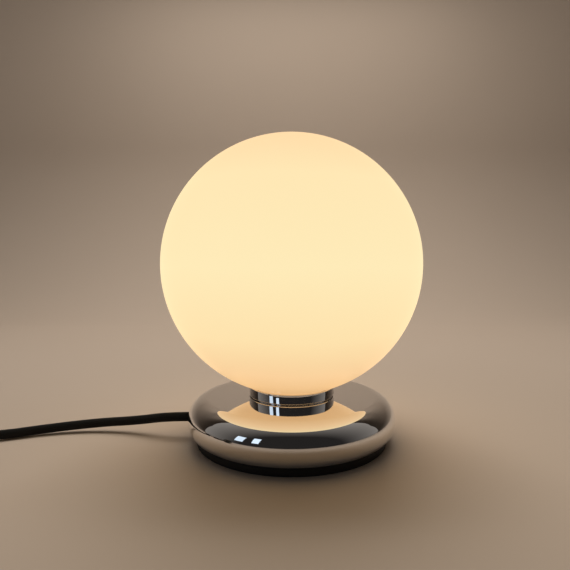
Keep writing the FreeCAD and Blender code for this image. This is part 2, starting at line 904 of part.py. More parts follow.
block_far = ZERO - s("block_near") - s("block_length")
block_close = ZERO - s("block_near")
block_bottom = weight_bottom - s("block_tall")


def make_terminal_block():
    half = s("block_width") / 2
    body = block("block_solid", block_far, block_close, half, block_bottom, weight_bottom)
    step = s("core_apart")
    bores = [
        bar(
            f"block_bore_{k}", "X", block_far - step, step * k, block_bottom + s("block_tall") / 2,
            s("core_radius") + fit, s("block_length") * 2,
        )
        for k in (-1, 0, 1)
    ]
    cut("terminal_block", body, bores, keep=True)
    tall = s("block_screw_tall")
    screws = [
        post(
            f"block_screw_{k}_{end}", block_far + s("block_length") * place, step * k,
            block_bottom - tall, s("block_screw_radius"), tall,
        )
        for k in (-1, 0, 1)
        for end, place in enumerate((0.25, 0.75))
    ]
    group("block_screws", screws)


def make_cores():
    """The cord's three cores to the block, and two leads from it up the stem."""
    level = (block_bottom + s("block_tall") / 2).mm
    apart, thick = s("core_apart").mm, s("core_radius").mm
    gap, bend = fit.mm, s("core_bend").mm
    close, stub, into = s("core_apart_in_cord").mm, s("core_stub").mm, s("core_in_block").mm
    start = sheath_end.mm + gap
    cores = [
        tube_along(
            [
                (start, close * k, exit_height.mm),
                (start + stub, close * k, exit_height.mm),
                (block_far.mm - stub, apart * k, level),
                (block_far.mm + into, apart * k, level),
            ],
            thick,
            most=bend / 4,
        )[0]
        for k in (-1, 0, 1)
    ]
    feature("cord_cores", Part.makeCompound(cores))
    stem = s("tube_bore").mm - thick - gap
    low, high = tube_bottom.mm - bend / 2, body_bottom.mm - s("terminal_tall").mm - ease.mm
    leads = [
        tube_along(
            [
                (block_close.mm - into, apart * k, level),
                (block_close.mm + into, apart * k, level),
                (-bend, stem * k, low),
                (0, stem * k, low + bend / 4),
                (0, stem * k, high),
            ],
            thick,
            most=bend / 2,
        )[0]
        for k in (-1, 1)
    ]
    feature("holder_leads", Part.makeCompound(leads))


def make_earth():
    """A lug screwed to the weight, beside the terminal block."""
    at, ring, reach = s("lug_circle"), s("lug_radius"), s("lug_tail")
    low = weight_bottom - s("lug_thick")
    eye = post("lug_eye", ZERO, at, low, ring, s("lug_thick"))
    hole = post("lug_hole", ZERO, at, low, s("clamp_screw_radius") + fit, s("lug_thick"))
    tail = doc.addObject("Part::Box", "lug_tail")
    tail.setExpression("Length", reach.rule)
    tail.setExpression("Width", ring.rule)
    tail.setExpression("Height", s("lug_thick").rule)
    tail.setExpression("Placement.Base.x", (ZERO - reach).rule)
    tail.setExpression("Placement.Base.y", (at - ring / 2).rule)
    tail.setExpression("Placement.Base.z", low.rule)
    cut("earth_lug", fuse("lug_solid", [eye, tail]), [hole], keep=True)
    head = s("clamp_screw_head_tall")
    screw = post("earth_screw", ZERO, at, low - head, s("clamp_screw_head"), head)
    keep_piece(screw, "earth_screw")


make_cord_entry()
make_cord_clamp()
make_terminal_block()
make_cores()
make_earth()

# --- switch on the cord -------------------------------------------------------------------

run_start, run_end = CORD_ROUTE[SWITCH_RUN], CORD_ROUTE[SWITCH_RUN + 1]
switch_at = [(a + b) / 2 for a, b in zip(run_start, run_end)]
switch_heading = math.degrees(
    math.atan2(run_start[1] - run_end[1], run_start[0] - run_end[0])
)


def rounded_block(length, width, tall, low, rounding):
    """A block with its upright edges rounded, centred on the origin."""
    made = Part.makeBox(length, width, tall, FreeCAD.Vector(-length / 2, -width / 2, low))
    upright = [
        e for e in made.Edges if abs(e.Vertexes[0].Point.z - e.Vertexes[1].Point.z) > tall / 2
    ]
    return made.makeFillet(rounding, upright)


def lying(radius, length, axis, z=0.0):
    """A cylinder centred on the origin, along the axis."""
    way = FreeCAD.Vector(*axis)
    return Part.makeCylinder(radius, length, way * (-length / 2) + FreeCAD.Vector(0, 0, z), way)


def make_switch():
    length, width = s("switch_length").mm, s("switch_width").mm
    lower = (cord + s("switch_under_cord")).mm
    pivot = (cord + s("pivot_over_cord")).mm
    upper = pivot + s("switch_over_pivot").mm
    channel = lying(cord.mm + fit.mm, length * 2, (1, 0, 0))
    window_length = (s("rocker_length") + s("rocker_end_gap") * 2).mm
    window_width = (s("rocker_width") + s("rocker_side_gap") * 2).mm
    pin_hole = lying(
        s("rocker_pin").mm + s("running").mm, s("rocker_pin_length").mm + 2 * ease.mm,
        (0, 1, 0), pivot,
    )
    window = Part.makeBox(
        window_length, window_width, upper * 2,
        FreeCAD.Vector(-window_length / 2, -window_width / 2, -upper / 2),
    )
    screw_r, head_r = s("switch_screw_radius").mm, s("switch_screw_head").mm
    head_tall, reach = s("switch_screw_head_tall").mm, s("switch_screw_reach").mm
    half, side = s("switch_screw_apart").mm / 2, s("switch_screw_side").mm
    spots = [(half, side), (-half, -side)]
    shanks = [
        Part.makeCylinder(screw_r + fit.mm, lower + reach + ease.mm, FreeCAD.Vector(x, y, -lower))
        for x, y in spots
    ]
    sinks = [
        Part.makeCylinder(head_r + fit.mm, head_tall, FreeCAD.Vector(x, y, -lower))
        for x, y in spots
    ]
    base = rounded_block(length, width, lower, -lower, s("switch_round").mm)
    cover = rounded_block(length, width, upper, 0, s("switch_round").mm)
    top_edges = [e for e in cover.Edges if all(v.Point.z > upper - 1e-6 for v in e.Vertexes)]
    cover = cover.makeFillet(s("switch_edge").mm, top_edges)
    base = base.cut(channel).cut(window).cut(Part.makeCompound(shanks + sinks))
    cover = cover.cut(channel).cut(window).cut(pin_hole).cut(Part.makeCompound(shanks))
    screws = [
        Part.makeCylinder(screw_r, lower + reach - fit.mm, FreeCAD.Vector(x, y, fit.mm - lower)).fuse(
            Part.makeCylinder(head_r, head_tall - fit.mm, FreeCAD.Vector(x, y, fit.mm - lower))
        )
        for x, y in spots
    ]
    end, middle = s("rocker_end").mm, s("rocker_middle").mm
    below, long = s("rocker_below").mm, s("rocker_length").mm / 2
    side_view = [(-long, -below), (long, -below), (long, end), (0, middle), (-long, end)]
    wide = s("rocker_width").mm
    outline = [FreeCAD.Vector(x, -wide / 2, z) for x, z in side_view]
    key = Part.Face(Part.makePolygon(outline + outline[:1])).extrude(FreeCAD.Vector(0, wide, 0))
    key = key.fuse(lying(s("rocker_pin").mm, s("rocker_pin_length").mm, (0, 1, 0)))
    key.rotate(FreeCAD.Vector(0, 0, 0), FreeCAD.Vector(0, 1, 0), s("rocker_tilt").mm)
    key.translate(FreeCAD.Vector(0, 0, pivot))
    feature("switch_base", placed(switch_at, switch_heading, base))
    feature("switch_cover", placed(switch_at, switch_heading, cover))
    feature("switch_screws", placed(switch_at, switch_heading, Part.makeCompound(screws)))
    feature("switch_rocker", placed(switch_at, switch_heading, key))


make_switch()

# --- plug, and the free cord --------------------------------------------------------------

plug_at = TAIL_ROUTE[-1]
plug_heading = math.degrees(
    math.atan2(plug_at[1] - TAIL_ROUTE[-2][1], plug_at[0] - TAIL_ROUTE[-2][0])
)


def turned_along_x(outline):
    """A solid turned about the X axis from an outline in length and radius."""
    points = [FreeCAD.Vector(x, r, 0) for x, r in outline]
    face = Part.Face(Part.makePolygon(points + points[:1]))
    return face.revolve(FreeCAD.Vector(0, 0, 0), FreeCAD.Vector(1, 0, 0), 360)


def make_plug():
    grip, thick = s("grip_length").mm, s("grip_wall").mm
    neck, radius = s("plug_neck_radius").mm, s("plug_radius").mm
    length, face = s("plug_length").mm, s("plug_face_length").mm
    bevel = s("plug_bevel").mm
    cord_hole = cord.mm + fit.mm
    end = grip + length
    sleeve = turned_along_x(
        [(0, cord_hole), (0, cord_hole + thick), (grip, neck - thick), (grip, cord_hole)]
    )
    body = turned_along_x(
        [(grip, 0), (grip, neck), (end - face - bevel, radius - bevel), (end - face, radius)]
        + [(end - bevel, radius), (end, radius - bevel), (end, 0)]
    )
    half = s("pin_apart").mm / 2
    slot, slot_w, slot_t = s("earth_length").mm, s("earth_width").mm, s("earth_thick").mm
    pins, clips = [], []
    for side in (-1, 1):
        pins.append(
            Part.makeCylinder(
                s("pin_radius").mm, s("pin_length").mm, FreeCAD.Vector(end, side * half, 0),
                FreeCAD.Vector(1, 0, 0),
            )
        )
        low = side * (radius - slot_t) - slot_t / 2
        clips.append(
            Part.makeBox(slot, slot_w, slot_t, FreeCAD.Vector(end - slot, -slot_w / 2, low))
        )
    groove = [
        Part.makeBox(
            slot + fit.mm, slot_w + 2 * fit.mm, radius,
            FreeCAD.Vector(
                end - slot - fit.mm, -slot_w / 2 - fit.mm,
                side * (radius - slot_t - slot_t / 2 - fit.mm) - (radius if side < 0 else 0),
            ),
        )
        for side in (-1, 1)
    ]
    body = body.cut(Part.makeCompound(groove))
    feature("plug_grip", placed(plug_at, plug_heading, sleeve))
    feature("plug_body", placed(plug_at, plug_heading, body))
    feature("plug_pins", placed(plug_at, plug_heading, Part.makeCompound(pins)))
    feature("plug_earth_clips", placed(plug_at, plug_heading, Part.makeCompound(clips)))


def make_free_cord():
    for name, route in (("power_cord", CORD_ROUTE), ("cord_tail", TAIL_ROUTE)):
        solid, length, radii, off = tube_along(route, cord.mm)
        feature(name, solid)
        print(name, "length", round(length, 1), "volume off by", f"{off:.5f}")
        print(name, "radii", [round(r, 1) for r in radii])
    x, y = COIL_CENTRE
    outer = Part.makeCylinder(
        s("coil_radius").mm, s("coil_tall").mm, FreeCAD.Vector(x, y, s("coil_floor").mm)
    )
    hollow = Part.makeCylinder(
        s("coil_inner").mm, s("coil_tall").mm, FreeCAD.Vector(x, y, s("coil_floor").mm)
    )
    feature("cord_coil", outer.cut(hollow))
    inside = lying(cord.mm, s("grip_length").mm, (1, 0, 0))
    inside.translate(FreeCAD.Vector(s("grip_length").mm / 2, 0, 0))
    feature("plug_lead", placed(plug_at, plug_heading, inside))


make_plug()
make_free_cord()

# --- checks, and one file for each piece --------------------------------------------------

doc.recompute()
for made in doc.Objects:
    if "Invalid" in made.State or "Error" in made.State:
        raise RuntimeError(f"{made.Label} did not build: {made.State}")
os.makedirs("parts", exist_ok=True)
for piece in pieces:
    if piece.Shape.isNull() or not piece.Shape.isValid() or not piece.Shape.Solids:
        raise RuntimeError(f"{piece.Label} is not a good solid")
    piece.Shape.exportStep(f"parts/{piece.Label}.step")
print(len(pieces), "pieces")
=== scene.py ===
"""Looks of the glass globe table lamp: opal ball, chrome collar, round chrome base, black cord."""

import math

import bmesh
import bpy
from mathutils import Matrix, Vector


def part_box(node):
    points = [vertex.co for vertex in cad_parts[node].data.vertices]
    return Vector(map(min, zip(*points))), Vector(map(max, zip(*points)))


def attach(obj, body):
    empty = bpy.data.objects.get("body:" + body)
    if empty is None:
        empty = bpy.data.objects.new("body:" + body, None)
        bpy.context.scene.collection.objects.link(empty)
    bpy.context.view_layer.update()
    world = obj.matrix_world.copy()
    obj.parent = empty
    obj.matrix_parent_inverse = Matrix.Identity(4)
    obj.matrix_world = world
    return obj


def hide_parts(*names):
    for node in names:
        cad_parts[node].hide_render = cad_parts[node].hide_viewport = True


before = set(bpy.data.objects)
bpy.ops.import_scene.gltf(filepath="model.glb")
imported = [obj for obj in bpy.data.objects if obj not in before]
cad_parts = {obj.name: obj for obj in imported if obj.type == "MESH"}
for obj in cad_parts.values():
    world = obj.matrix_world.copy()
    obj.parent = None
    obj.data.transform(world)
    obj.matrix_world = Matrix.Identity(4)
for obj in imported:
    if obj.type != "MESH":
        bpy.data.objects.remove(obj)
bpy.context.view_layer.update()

scene = bpy.context.scene
scene.view_settings.view_transform = "Standard"

# --- Camera -------------------------------------------------------------------------------
# A level view from the height of the globe's middle, close by. Upright lines stay upright, and
# the frame is shifted a little to place the lamp in it.

camera_distance, camera_height, sensor_width = 0.384, 0.1372, 36
focal_px, photo_px = 487.9, 570
axis_px, horizon_px = 291.6, 262.3


def add(name, data):
    """A new object in the scene."""
    made = bpy.data.objects.new(name, data)
    scene.collection.objects.link(made)
    return made


view = bpy.data.cameras.new("camera")
view.sensor_width = sensor_width
view.lens = sensor_width * focal_px / photo_px
view.shift_x = (photo_px / 2 - axis_px) / photo_px
view.shift_y = (horizon_px - photo_px / 2) / photo_px
camera = add("camera", view)
camera.location = (0, -camera_distance, camera_height)
camera.rotation_euler = (math.pi / 2, 0, 0)
scene.camera = camera

# --- Power lead ---------------------------------------------------------------------------
# A 7 mm lead in a black textile braid. It leaves the base at the left, lies on the table,
# goes through an inline switch and ends in a coil, put away, and a plug.

MM = 0.001
cord_diameter, cord_sides = 7 * MM, 20
route = [
    (-80.0, 0.0, 15.8),
    (-98.0, 0.0, 15.8),
    (-124.0, 10.0, 9.6),
    (-158.0, 13.5, 6.6),
    (-194.0, 6.5, 4.4),
    (-229.0, -10.5, 3.9),
    (-274.0, -25.0, 8.4),
    (-356.2, -42.5, 8.4),
    (-392.8, -73.4, 5.2),
]
coil_centre = (-353.1, -119.3)
coil_start, coil_end = 172.0, 270.0 + 5 * 360
coil_out, coil_in = 47.0, 27.8
low_layer, high_layer = 3.7, 11.2
points_a_turn, climb_turns = 14, 1.4
tail = [
    (-316.0, -168.0, 14.0),
    (-279.0, -161.5, 18.5),
    (-247.0, -150.0, 18.5),
]

coil_turns = (coil_end - coil_start) / 360
coil_points = round(coil_turns * points_a_turn)
climb = climb_turns / coil_turns  # the share of the coil in which the lead rises to its top layer


def coil_point(along):
    """A point from 0 to 1 along the coil: in to the middle, up a layer and out again."""
    angle = math.radians(coil_start + (coil_end - coil_start) * along)
    inward = 1 - abs(2 * along - 1)
    reach = coil_out - (coil_out - coil_in) * inward
    rise = min(max((along - 0.5) / climb + 0.5, 0), 1)
    height = low_layer + (high_layer - low_layer) * rise * rise * (3 - 2 * rise)
    x = coil_centre[0] + reach * math.cos(angle)
    y = coil_centre[1] + reach * math.sin(angle)
    return (x, y, height)


def worked_out(thing):
    """The thing's shape as a new plain mesh, with its modifiers in it."""
    solid = thing.evaluated_get(bpy.context.evaluated_depsgraph_get())
    return bpy.data.meshes.new_from_object(solid)


route += [coil_point(k / coil_points) for k in range(coil_points + 1)] + tail
line = bpy.data.curves.new("lead_line", "CURVE")
line.dimensions = "3D"
spline = line.splines.new("NURBS")
spline.points.add(len(route) - 1)
for point, place in zip(spline.points, route):
    point.co = (*(value * MM for value in place), 1)
spline.order_u = 3
spline.use_endpoint_u = True
spline.resolution_u = 12
guide = add("lead_line", line)
lead_path = [vertex.co.copy() for vertex in worked_out(guide).vertices]
bpy.data.objects.remove(guide)


def turns(steps):
    """Even angles once round a circle."""
    return [2 * math.pi * k / steps for k in range(steps)]


def built(name, mesh, outward=True):
    """The bmesh as a new object. A closed one's faces are turned outward first."""
    if outward:
        bmesh.ops.recalc_face_normals(mesh, faces=mesh.faces)
    data = bpy.data.meshes.new(name)
    mesh.to_mesh(data)
    mesh.free()
    return add(name, data)


def tube_on(name, path, radius, sides):
    """A closed round tube along the path, with a UV map in turns round it and metres along it."""
    mesh = bmesh.new()
    uv = mesh.loops.layers.uv.new("UVMap")
    along, rings, up = 0.0, [], Vector((0, 0, 1))
    for k, at in enumerate(path):
        ahead = (path[min(k + 1, len(path) - 1)] - path[max(k - 1, 0)]).normalized()
        side = ahead.cross(up).normalized()
        up = side.cross(ahead).normalized()
        if k:
            along += (at - path[k - 1]).length
        spokes = [side * math.cos(t) + up * math.sin(t) for t in turns(sides)]
        rings.append(([mesh.verts.new(at + spoke * radius) for spoke in spokes], along))
    for (ring, low), (after, high) in zip(rings, rings[1:]):
        for j in range(sides):
            i = (j + 1) % sides
            face = mesh.faces.new((ring[j], ring[i], after[i], after[j]))
            face.smooth = True
            corners = ((j, low), (j + 1, low), (j + 1, high), (j, high))
            for loop, (u, v) in zip(face.loops, corners):
                loop[uv].uv = (u / sides, v)
    mesh.faces.new(rings[0][0][::-1])
    mesh.faces.new(rings[-1][0])
    return built(name, mesh)


class Signal:
    """A number or colour that varies over a surface. Python's operators add Math nodes to it."""

    def __init__(self, tree, socket):
        self.tree, self.socket = tree, socket

    def math(self, operation, *others):
        """A Math node with this as its first value."""
        return self.tree.node("ShaderNodeMath", [self, *others], operation=operation)

    def __add__(self, other):
        return self.math("ADD", other)

    def __mul__(self, other):
        return self.math("MULTIPLY", other)

    def __sub__(self, other):
        return self.math("SUBTRACT", other)

    def __rsub__(self, other):
        return self * -1 + other

    def __truediv__(self, other):
        return self.math("DIVIDE", other)

    def between(self, low, high):
        """0 up to low, 1 from high, smooth in between."""
        sockets = [self, low, high]
        return self.tree.node("ShaderNodeMapRange", sockets, interpolation_type="SMOOTHSTEP")


class Nodes:
    """A node tree, and what is added to it."""

    def __init__(self, tree):
        self.nodes, self.links = tree.nodes, tree.links

    def feed(self, socket, value):
        """Links a signal to the socket, or sets the socket to a constant."""
        if isinstance(value, Signal):
            self.links.new(value.socket, socket)
        elif socket.type == "RGBA" and len(value) == 3:
            socket.default_value = (*value, 1)
        else:
            socket.default_value = value

    def node(self, kind, sockets=(), output=0, **settings):
        """Any node. Sockets go by number or name. A ramp's stops are (place, colour) pairs."""
        made = self.nodes.new(kind)
        for word, value in settings.items():
            if word != "stops":
                setattr(made, word, value)
                continue
            while len(made.color_ramp.elements) < len(value):
                made.color_ramp.elements.new(0.5)
            for stop, (place, colour) in zip(made.color_ramp.elements, value):
                stop.position, stop.color = place, (*colour, 1)
        named = sockets.items() if isinstance(sockets, dict) else enumerate(sockets)
        for key, value in named:
            self.feed(made.inputs[key], value)
        return Signal(self, made.outputs[output])

    def parts(self, vector):
        """The three numbers of a vector."""
        made = self.node("ShaderNodeSeparateXYZ", [vector]).socket.node
        return [Signal(self, out) for out in made.outputs]

    def blend(self, amount, low, high):
        """A colour between two."""
        return self.node("ShaderNodeMix", {0: amount, 6: low, 7: high}, output=2, data_type="RGBA")


class Finish(Nodes):
    """A material: its nodes, and what its surface takes from them."""

    def __init__(self, name, **surface):
        self.material = bpy.data.materials.new(name)
        self.material.use_nodes = True
        super().__init__(self.material.node_tree)
        self.surface = self.nodes["Principled BSDF"]
        self.takes(**surface)

    def takes(self, **surface):
        """Sets the surface's sockets: base_color is Base Color, and so on."""
        for word, value in surface.items():
            name = word.replace("_", " ").title().replace("Ior", "IOR")
            self.feed(self.surface.inputs[name], value)

    def place(self, source="Object"):
        """Where a point of the surface is."""
        return self.node("ShaderNodeTexCoord", output=source)

    def noise(self, scale, detail=2.0, roughness=0.5):
        """Soft noise from 0 to 1."""
        sockets = {"Vector": self.place(), "Scale": scale, "Detail": detail}
        return self.node("ShaderNodeTexNoise", {**sockets, "Roughness": roughness})

    def cells(self, scale, **settings):
        """Small rounded cells."""
        sockets = {"Vector": self.place(), "Scale": scale}
        return self.node("ShaderNodeTexVoronoi", sockets, **settings)

    def bump(self, height, depth, strength):
        """Relief, with its depth in metres."""
        sockets = {"Height": height, "Distance": depth, "Strength": strength}
        self.takes(normal=self.node("ShaderNodeBump", sockets))

    def on(self, *things):
        """Gives each piece this one material. A CAD node goes by its name."""
        for thing in things:
            if isinstance(thing, str):
                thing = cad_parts[thing]
            thing.data.materials.clear()
            thing.data.materials.append(self.material)


yarns_round, braid_pitch, crossing = 16, 0.0055, 0.2
braid = Finish("cord_braid", roughness=0.75, specular_ior_level=0.25, sheen_weight=0.04)
around, along, _ = braid.parts(braid.place("UV"))
right_hand = (around + along / braid_pitch) * yarns_round * math.pi
left_hand = (around - along / braid_pitch) * yarns_round * math.pi
ridge_a = right_hand.math("SINE").math("ABSOLUTE")
ridge_b = left_hand.math("SINE").math("ABSOLUTE")
over = right_hand.math("COSINE") * left_hand.math("COSINE")
weave = braid.blend(over.between(-crossing, crossing), (0, 0, 0), (1, 1, 1))
relief = ridge_a * weave + ridge_b * (1 - weave)
fuzz = braid.noise(2600, 3)
braid.bump(relief + fuzz * 0.35, depth=0.00035, strength=0.8)
# Painted shade: the braid's colour follows its relief, darker in the grooves between the yarns and
# lighter on their crowns, and the fuzz noise adds random tone on top.
painted_groove_shade_and_fuzz = relief * (fuzz + 0.4)
braid.takes(base_color=braid.blend(painted_groove_shade_and_fuzz, (0.0015, 0.0015, 0.0015), (0.011, 0.0105, 0.010)))

lead = tube_on("power_lead", lead_path, cord_diameter / 2, cord_sides)
braid.on(lead)
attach(lead, "base")
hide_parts("power_cord", "cord_coil", "cord_tail")


def straight_lead(name, start, end, node):
    """A straight stretch of the same lead, inside the base or the plug."""
    made = tube_on(name, [Vector(start) * MM, Vector(end) * MM], cord_diameter / 2, cord_sides)
    braid.on(made)
    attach(made, "base")
    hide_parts(node)
    return made


sheath_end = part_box("inner_cord")[1][0] / MM
straight_lead("lead_in_base", route[0], (sheath_end, *route[0][1:]), "inner_cord")

# --- Foot ring ----------------------------------------------------------------------------
# A moulded black rubber ring that clips round the bottom plate. The lamp stands on it, and
# the shell's lower edge sits on its top.


def size_of(node):
    """A round CAD node's radius, bottom and top, in mm."""
    low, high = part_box(node)
    return high[0] / MM, low[2] / MM, high[2] / MM


foot_radius, _, foot_top = size_of("foot_ring")
foot_wall, foot_ledge, foot_ledge_thick, foot_rounding = 3.0, 6.0, 1.5, 0.5
straight_enough, longest_cut, on_axis = math.radians(12), 0.45, 1e-6
turned_crease = 35


def arc(centre, radius, start, end, steps):
    """Points on an arc, in degrees from the outward direction."""
    angles = [math.radians(start + (end - start) * k / steps) for k in range(steps + 1)]
    return [(centre[0] + radius * math.cos(t), centre[1] + radius * math.sin(t)) for t in angles]


def soften(outline, radius, steps=4):
    """The outline with each corner rounded, less where an edge is short."""
    made, count = [], len(outline)
    for k in range(count):
        before, corner, after = (Vector(outline[i % count]) for i in (k - 1, k, k + 1))
        back, ahead = before - corner, after - corner
        turn = math.pi - back.angle(ahead)
        if turn < straight_enough or corner.x < on_axis:
            made.append(tuple(corner))
            continue
        cut = min(
            radius * math.tan(turn / 2), back.length * longest_cut, ahead.length * longest_cut
        )
        first, last = corner + back.normalized() * cut, corner + ahead.normalized() * cut
        for j in range(steps + 1):
            t = j / steps
            made.append(tuple(first * (1 - t) ** 2 + corner * 2 * t * (1 - t) + last * t * t))
    return made


def circle(mesh, radius, height, steps):
    """New points on a circle round the lamp's axis. Sizes in mm."""
    out, up = radius * MM, height * MM
    return [mesh.verts.new((out * math.cos(t), out * math.sin(t), up)) for t in turns(steps)]


def walls(mesh, rings):
    """Faces from each ring of points to the next. A ring can be one point, repeated."""
    for here, there in zip(rings, rings[1:]):
        for k in range(len(here)):
            i = (k + 1) % len(here)
            corners = list(dict.fromkeys((here[k], here[i], there[i], there[k])))
            if len(corners) > 2:
                mesh.faces.new(corners)


def shade(thing, crease):
    """Smooth shading, but for edges that turn by more than the crease, in degrees."""
    thing.data.shade_smooth()
    thing.data.set_sharp_from_angle(angle=math.radians(crease))


def lathe(name, outline, steps=128):
    """A turned piece: a closed outline of (radius, height) in mm, once round the lamp's axis."""
    mesh = bmesh.new()
    rings = []
    for radius, height in outline:
        if radius < on_axis:
            rings.append([mesh.verts.new((0, 0, height * MM))] * steps)
        else:
            rings.append(circle(mesh, radius, height, steps))
    walls(mesh, rings + rings[:1])
    made = built(name, mesh)
    shade(made, turned_crease)
    return made


rubber = Finish("black_rubber", roughness=0.6, specular_ior_level=0.35)
rubber.bump(rubber.noise(1400, 4, 0.6), depth=0.00006, strength=0.5)
rubber.takes(
    base_color=rubber.blend(rubber.noise(60), (0.006, 0.006, 0.006), (0.016, 0.015, 0.015))
)

foot_inner = foot_radius - foot_wall
ledge_inner = foot_inner - foot_ledge
ledge_bottom = foot_top - foot_ledge_thick
foot_outline = [
    (foot_inner, 0),
    (foot_radius, 0),
    (foot_radius, foot_top),
    (ledge_inner, foot_top),
    (ledge_inner, ledge_bottom),
    (foot_inner, ledge_bottom),
]
foot = lathe("rubber_foot", soften(foot_outline, foot_rounding), steps=192)
rubber.on(foot)
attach(foot, "base")
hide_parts("foot_ring")

# --- Bottom plate and its screws ----------------------------------------------------------
# A zinc plated steel disc closes the base. Three cross-head screws hold it up to the weight
# through spacer sleeves.

plated = Finish("zinc_plate", metallic=1.0)
streak = plated.noise(40, 5, 0.7)
plated.takes(
    base_color=plated.blend(streak, (0.40, 0.40, 0.38), (0.62, 0.61, 0.57)),
    roughness=streak * 0.25 + 0.2,
)
plated.bump(plated.cells(260) + streak, depth=0.00002, strength=0.35)
plated.on("bottom_plate", "plate_pillars", "lower_washer", "upper_washer")
plated.on("earth_screw", "clamp_screws", "block_screws")

_, screws_bottom, screws_top = size_of("plate_screws")
screw_circle, screw_count, screw_sides = 38.0, 3, 24
head_radius, head_tall, head_flat, head_round, shank_radius = 3.6, 1.5, 1.98, 0.9, 1.9
cross_width, cross_length, cross_deep = 0.9, 4.0, 0.9


def moved(place):
    """A shift to the place, in mm."""
    return Matrix.Translation(Vector(place) * MM)


def box_tool(size, centre=(0, 0, 0), turn=0):
    """A block to cut with, turned about the lamp's axis. Sizes in mm."""
    mesh = bmesh.new()
    bmesh.ops.create_cube(mesh, size=1)
    scale = Matrix.Diagonal((*(value * MM for value in size), 1))
    place = Matrix.Rotation(turn, 4, "Z") @ moved(centre)
    bmesh.ops.transform(mesh, matrix=place @ scale, verts=mesh.verts)
    return built("tool", mesh, outward=False)


def bake(thing):
    """Works the thing's modifiers into its mesh."""
    thing.data = worked_out(thing)
    thing.modifiers.clear()


def cut_by(thing, *tools):
    """The thing without the tools, which are used up."""
    for tool in tools:
        cutter = thing.modifiers.new("cut", "BOOLEAN")
        cutter.operation, cutter.object, cutter.solver = "DIFFERENCE", tool, "EXACT"
    bake(thing)
    for tool in tools:
        bpy.data.objects.remove(tool)


def cross_screw(name):
    """A pan-head screw with a cross recess, its head's face at height 0 and pointing down."""
    tall = screws_top - screws_bottom
    outline = [(0, 0), (head_flat, 0)]
    outline += arc((head_radius - head_round, head_round), head_round, 270, 360, 4)
    outline += [(head_radius, head_tall), (shank_radius, head_tall), (shank_radius, tall)]
    made = lathe(name, outline + [(0, tall)], steps=screw_sides)
    for turn in (0, math.pi / 2):
        cut_by(made, box_tool((cross_length, cross_width, cross_deep * 2), turn=turn))
    return made


def ring_tree():
    """Geometry nodes that repeat one piece at even places round the lamp's axis."""
    tree = bpy.data.node_groups.new("ring_of_pieces", "GeometryNodeTree")
    tree.interface.new_socket("Geometry", in_out="OUTPUT", socket_type="NodeSocketGeometry")
    for word, kind in (
        ("Piece", "NodeSocketObject"),
        ("Count", "NodeSocketInt"),
        ("Radius", "NodeSocketFloat"),
        ("Height", "NodeSocketFloat"),
        ("Material", "NodeSocketMaterial"),
    ):
        tree.interface.new_socket(word, in_out="INPUT", socket_type=kind)
    steps = Nodes(tree)
    given = {out.name: Signal(steps, out) for out in tree.nodes.new("NodeGroupInput").outputs}
    sockets = {"Vertices": given["Count"], "Radius": given["Radius"]}
    flat = steps.node("GeometryNodeMeshCircle", sockets)
    lift = steps.node("ShaderNodeCombineXYZ", {"Z": given["Height"]})
    places = steps.node("GeometryNodeTransform", {"Geometry": flat, "Translation": lift})
    share = steps.node("ShaderNodeMath", [2 * math.pi, given["Count"]], operation="DIVIDE")
    turn = steps.node("ShaderNodeCombineXYZ", {"Z": steps.node("GeometryNodeInputIndex") * share})
    piece = steps.node("GeometryNodeObjectInfo", {"Object": given["Piece"]}, output="Geometry")
    sockets = {"Points": places, "Instance": piece, "Rotation": turn}
    spread = steps.node("GeometryNodeInstanceOnPoints", sockets)
    real = steps.node("GeometryNodeRealizeInstances", [spread])
    sockets = {"Geometry": real, "Material": given["Material"]}
    dressed = steps.node("GeometryNodeSetMaterial", sockets)
    steps.feed(tree.nodes.new("NodeGroupOutput").inputs[0], dressed)
    return tree


round_the_axis = ring_tree()


def ring_of(name, piece, count, radius, height, finish):
    """The piece at count even places on a circle, as one plain mesh. Sizes in mm."""
    made = add(name, bpy.data.meshes.new(name))
    step = made.modifiers.new("ring", "NODES")
    step.node_group = round_the_axis
    given = {"Piece": piece, "Count": count, "Radius": radius * MM, "Height": height * MM}
    given["Material"] = finish.material
    for item in round_the_axis.interface.items_tree:
        if item.in_out == "INPUT":
            step[item.identifier] = given[item.name]
    bake(made)
    bpy.data.objects.remove(piece)
    return made


screw = cross_screw("screw")
screws = ring_of("plate_screw_set", screw, screw_count, screw_circle, screws_bottom, plated)
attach(screws, "base")
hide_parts("plate_screws")

# --- Base shell ---------------------------------------------------------------------------
# Spun from one sheet of steel and chrome plated to a mirror: a flat top, a soft shoulder and
# a full round rim that turns in to its lower edge. The lead passes a hole at the left.

base_radius, _, shell_top = size_of("base_shell")
rim_radius, shoulder_radius, shoulder_angle = 15.7, 19.0, 5.0
shell_wall, stem_hole, flat_rings = 1.2, 5.3, 6
lead_height, lead_hole, punch_long, punch_sides = route[0][2], 5.3, 40, 48
skin_tolerance, top_tolerance, skin_agrees = 0.02, 0.01, 0.8

tilt = math.radians(shoulder_angle)
rim_centre = base_radius - rim_radius
flat_edge = rim_centre - (shoulder_radius - rim_radius) * math.sin(tilt)
shoulder_height = shell_top - shoulder_radius
rim_height = shoulder_height + (shoulder_radius - rim_radius) * math.cos(tilt)
shoulder_edge = rim_centre + rim_radius * math.sin(tilt)
shoulder_middle, rim_middle = (flat_edge, shoulder_height), (rim_centre, rim_height)


def shell_skin(inset, steps):
    """The shell's skin, or one that far inside it, from the top's edge to the lower edge."""
    rim = rim_radius - inset
    low = -math.degrees(math.asin((rim_height - foot_top) / rim))
    shoulder = arc(shoulder_middle, shoulder_radius - inset, 90, 90 - shoulder_angle, 4)
    return shoulder + arc(rim_middle, rim, 90 - shoulder_angle, low, steps)[1:]


